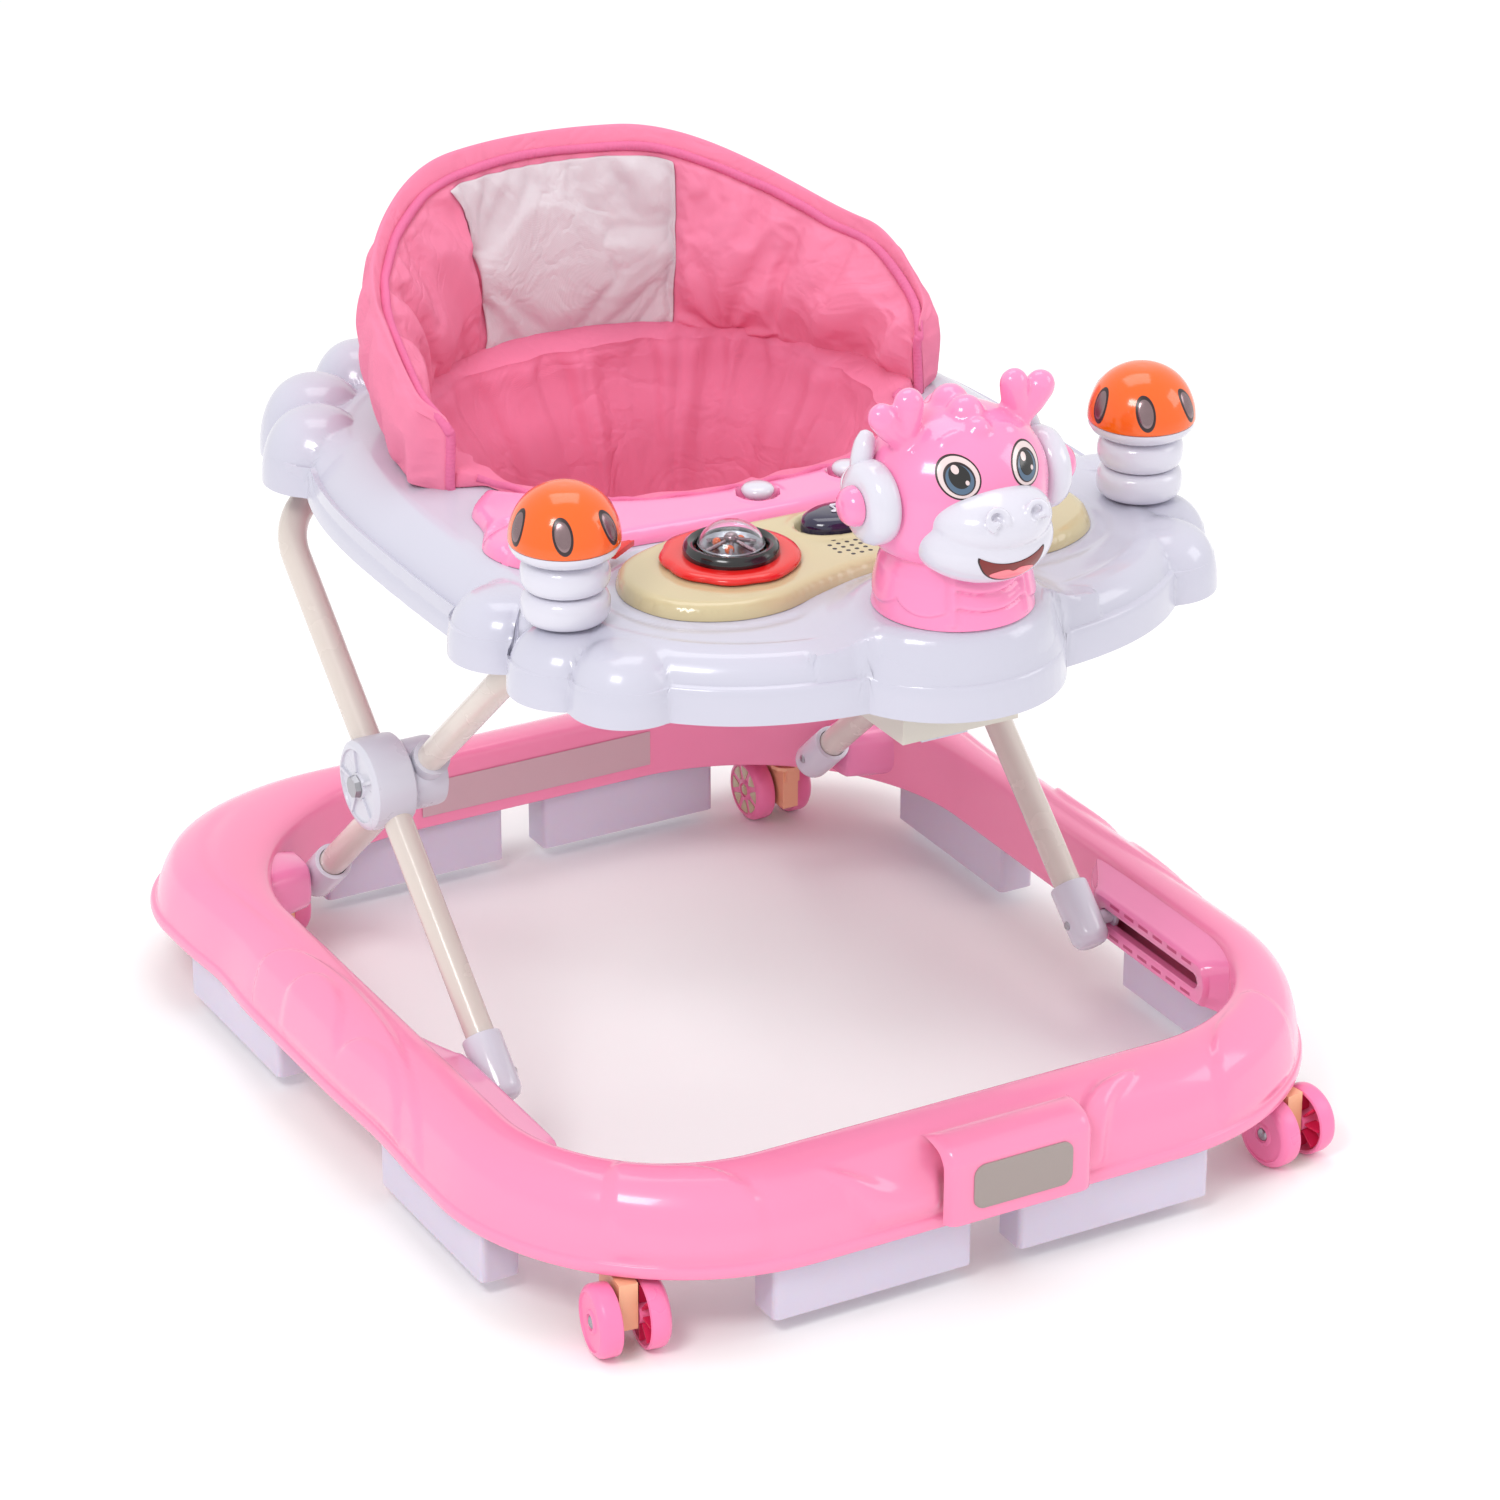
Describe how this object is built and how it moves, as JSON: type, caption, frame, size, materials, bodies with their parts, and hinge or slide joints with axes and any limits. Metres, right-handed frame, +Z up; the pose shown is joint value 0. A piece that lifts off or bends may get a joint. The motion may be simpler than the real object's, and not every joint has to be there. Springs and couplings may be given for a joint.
{
  "type": "baby walker",
  "caption": "Folding baby walker: ring base on twin-wheel casters, scissor legs, toy tray with a turning dragon head, spinning mushrooms, padded fabric seat.",
  "frame": {"origin": "on the floor under the middle of the base ring", "axes": "+X right seen from the front, -Y the front where the dragon faces, +Y the seat back, +Z up"},
  "size_m": [0.598, 0.7043, 0.5678],
  "materials": {
    "pink_shell": "glossy pink moulding",
    "badge": "satin taupe plate",
    "pad": "pale translucent grip rubber",
    "fork": "satin peach moulding",
    "wheel": "satin pink moulding",
    "tube": "glossy cream-white paint",
    "white_shell": "glossy white moulding with a lavender tint",
    "steel": "plain steel",
    "cream": "glossy cream moulding",
    "red": "glossy red moulding",
    "black": "glossy black moulding",
    "clear": "clear dome",
    "navy": "glossy navy moulding",
    "orange": "glossy orange moulding",
    "fabric": "padded pink woven fabric"
  },
  "bodies": {
    "base": {"base_ring": "pink_shell", "front_badge": "badge", "brake_pad_front_left": "pad", "brake_pad_front_right": "pad", "brake_pad_back_left": "pad", "brake_pad_back_right": "pad", "brake_pad_side_front_left": "pad", "brake_pad_side_front_right": "pad", "brake_pad_side_rear_left": "pad", "brake_pad_side_rear_right": "pad"},
    "caster_front_left": {"caster_fork_front_left": "fork"},
    "wheels_front_left": {"caster_wheels_front_left": "wheel"},
    "caster_front_right": {"caster_fork_front_right": "fork"},
    "wheels_front_right": {"caster_wheels_front_right": "wheel"},
    "caster_rear_left": {"caster_fork_rear_left": "fork"},
    "wheels_rear_left": {"caster_wheels_rear_left": "wheel"},
    "caster_rear_right": {"caster_fork_rear_right": "fork"},
    "wheels_rear_right": {"caster_wheels_rear_right": "wheel"},
    "rear_legs": {"rear_leg_frame": "tube", "foot_cap_rear_left": "white_shell", "hub_inner_left": "white_shell", "hub_bolt_left": "steel", "foot_cap_rear_right": "white_shell", "hub_inner_right": "white_shell", "hub_bolt_right": "steel"},
    "front_legs": {"front_leg_frame": "tube", "foot_cap_front_left": "white_shell", "hub_outer_left": "white_shell", "foot_cap_front_right": "white_shell", "hub_outer_right": "white_shell"},
    "tray": {"tray_shell": "white_shell", "height_track": "cream", "toy_panel": "cream", "arm_band": "pink_shell", "dragon_neck": "pink_shell", "seat_sling": "fabric", "seat_back": "fabric", "lamp_disc_left": "red", "lamp_bezel_left": "black", "lamp_dome_left": "clear", "lamp_disc_right": "red", "lamp_bezel_right": "black", "lamp_dome_right": "clear"},
    "height_latch": {"height_latch": "red"},
    "band_button_left": {"band_button_left": "white_shell"},
    "band_button_right": {"band_button_right": "white_shell"},
    "music_key": {"music_key": "navy"},
    "mushroom_ring_lower_left": {"mushroom_ring_lower_left": "white_shell"},
    "mushroom_ring_upper_left": {"mushroom_ring_upper_left": "white_shell"},
    "mushroom_top_left": {"mushroom_rim_left": "white_shell", "mushroom_cap_left": "orange"},
    "mushroom_ring_lower_right": {"mushroom_ring_lower_right": "white_shell"},
    "mushroom_ring_upper_right": {"mushroom_ring_upper_right": "white_shell"},
    "mushroom_top_right": {"mushroom_rim_right": "white_shell", "mushroom_cap_right": "orange"},
    "dragon_head": {"dragon_head": "pink_shell", "dragon_muzzle": "white_shell", "dragon_headphones": "white_shell", "ear_knob_left": "pink_shell", "ear_knob_right": "pink_shell"}
  },
  "joints": [
    {"name": "swivel_front_left", "type": "hinge", "parent": "base", "child": "caster_front_left", "pos_m": [-0.236, -0.274, 0.05], "axis": [0, 0, 1], "continuous": true},
    {"name": "roll_front_left", "type": "hinge", "parent": "caster_front_left", "child": "wheels_front_left", "pos_m": [-0.239, -0.296, 0.023], "axis": [0.9908, -0.1351, 0], "continuous": true},
    {"name": "swivel_front_right", "type": "hinge", "parent": "base", "child": "caster_front_right", "pos_m": [0.236, -0.274, 0.05], "axis": [0, 0, 1], "continuous": true},
    {"name": "roll_front_right", "type": "hinge", "parent": "caster_front_right", "child": "wheels_front_right", "pos_m": [0.239, -0.296, 0.023], "axis": [0.9908, 0.1351, 0], "continuous": true},
    {"name": "swivel_rear_left", "type": "hinge", "parent": "base", "child": "caster_rear_left", "pos_m": [-0.199, 0.281, 0.05], "axis": [0, 0, 1], "continuous": true},
    {"name": "roll_rear_left", "type": "hinge", "parent": "caster_rear_left", "child": "wheels_rear_left", "pos_m": [-0.199, 0.303, 0.023], "axis": [1, 0, 0], "continuous": true},
    {"name": "swivel_rear_right", "type": "hinge", "parent": "base", "child": "caster_rear_right", "pos_m": [0.199, 0.281, 0.05], "axis": [0, 0, 1], "continuous": true},
    {"name": "roll_rear_right", "type": "hinge", "parent": "caster_rear_right", "child": "wheels_rear_right", "pos_m": [0.199, 0.303, 0.023], "axis": [1, 0, 0], "continuous": true},
    {"name": "fold", "type": "hinge", "parent": "base", "child": "rear_legs", "pos_m": [0, 0.225, 0.079], "axis": [1, 0, 0], "range_deg": [0, 34.4]},
    {"name": "hub_scissor", "type": "hinge", "parent": "rear_legs", "child": "front_legs", "pos_m": [0, 0.07, 0.219], "axis": [1, 0, 0], "range_deg": [-69, 0]},
    {"name": "tray_level", "type": "hinge", "parent": "front_legs", "child": "tray", "pos_m": [0, 0.225, 0.359], "axis": [1, 0, 0], "range_deg": [0, 34.6]},
    {"name": "latch_pull", "type": "slide", "parent": "tray", "child": "height_latch", "axis": [0, -1, 0], "range_m": [0, 0.008], "stiffness_N_per_m": 300, "springref_m": -0.003},
    {"name": "press_band_button_left", "type": "slide", "parent": "tray", "child": "band_button_left", "axis": [0, 0, -1], "range_m": [0, 0.0025], "stiffness_N_per_m": 400, "springref_m": -0.001},
    {"name": "press_band_button_right", "type": "slide", "parent": "tray", "child": "band_button_right", "axis": [0, 0, -1], "range_m": [0, 0.0025], "stiffness_N_per_m": 400, "springref_m": -0.001},
    {"name": "press_music_key", "type": "slide", "parent": "tray", "child": "music_key", "axis": [0, 0, -1], "range_m": [0, 0.002], "stiffness_N_per_m": 400, "springref_m": -0.001},
    {"name": "spin_ring_lower_left", "type": "hinge", "parent": "tray", "child": "mushroom_ring_lower_left", "pos_m": [-0.201, -0.1565, 0.43], "axis": [0, 0, 1], "continuous": true},
    {"name": "spin_ring_upper_left", "type": "hinge", "parent": "tray", "child": "mushroom_ring_upper_left", "pos_m": [-0.201, -0.1565, 0.43], "axis": [0, 0, 1], "continuous": true},
    {"name": "spin_cap_left", "type": "hinge", "parent": "tray", "child": "mushroom_top_left", "pos_m": [-0.201, -0.1565, 0.43], "axis": [0, 0, 1], "continuous": true},
    {"name": "spin_ring_lower_right", "type": "hinge", "parent": "tray", "child": "mushroom_ring_lower_right", "pos_m": [0.201, -0.1565, 0.43], "axis": [0, 0, 1], "continuous": true},
    {"name": "spin_ring_upper_right", "type": "hinge", "parent": "tray", "child": "mushroom_ring_upper_right", "pos_m": [0.201, -0.1565, 0.43], "axis": [0, 0, 1], "continuous": true},
    {"name": "spin_cap_right", "type": "hinge", "parent": "tray", "child": "mushroom_top_right", "pos_m": [0.201, -0.1565, 0.43], "axis": [0, 0, 1], "continuous": true},
    {"name": "head_turn", "type": "hinge", "parent": "tray", "child": "dragon_head", "pos_m": [0, -0.264, 0.47], "axis": [0, 0, 1], "range_deg": [-45, 45]}
  ],
  "couplings": [
    {"joint": "hub_scissor", "follows": "fold", "ratio": -2},
    {"joint": "tray_level", "follows": "fold", "ratio": 1}
  ]
}
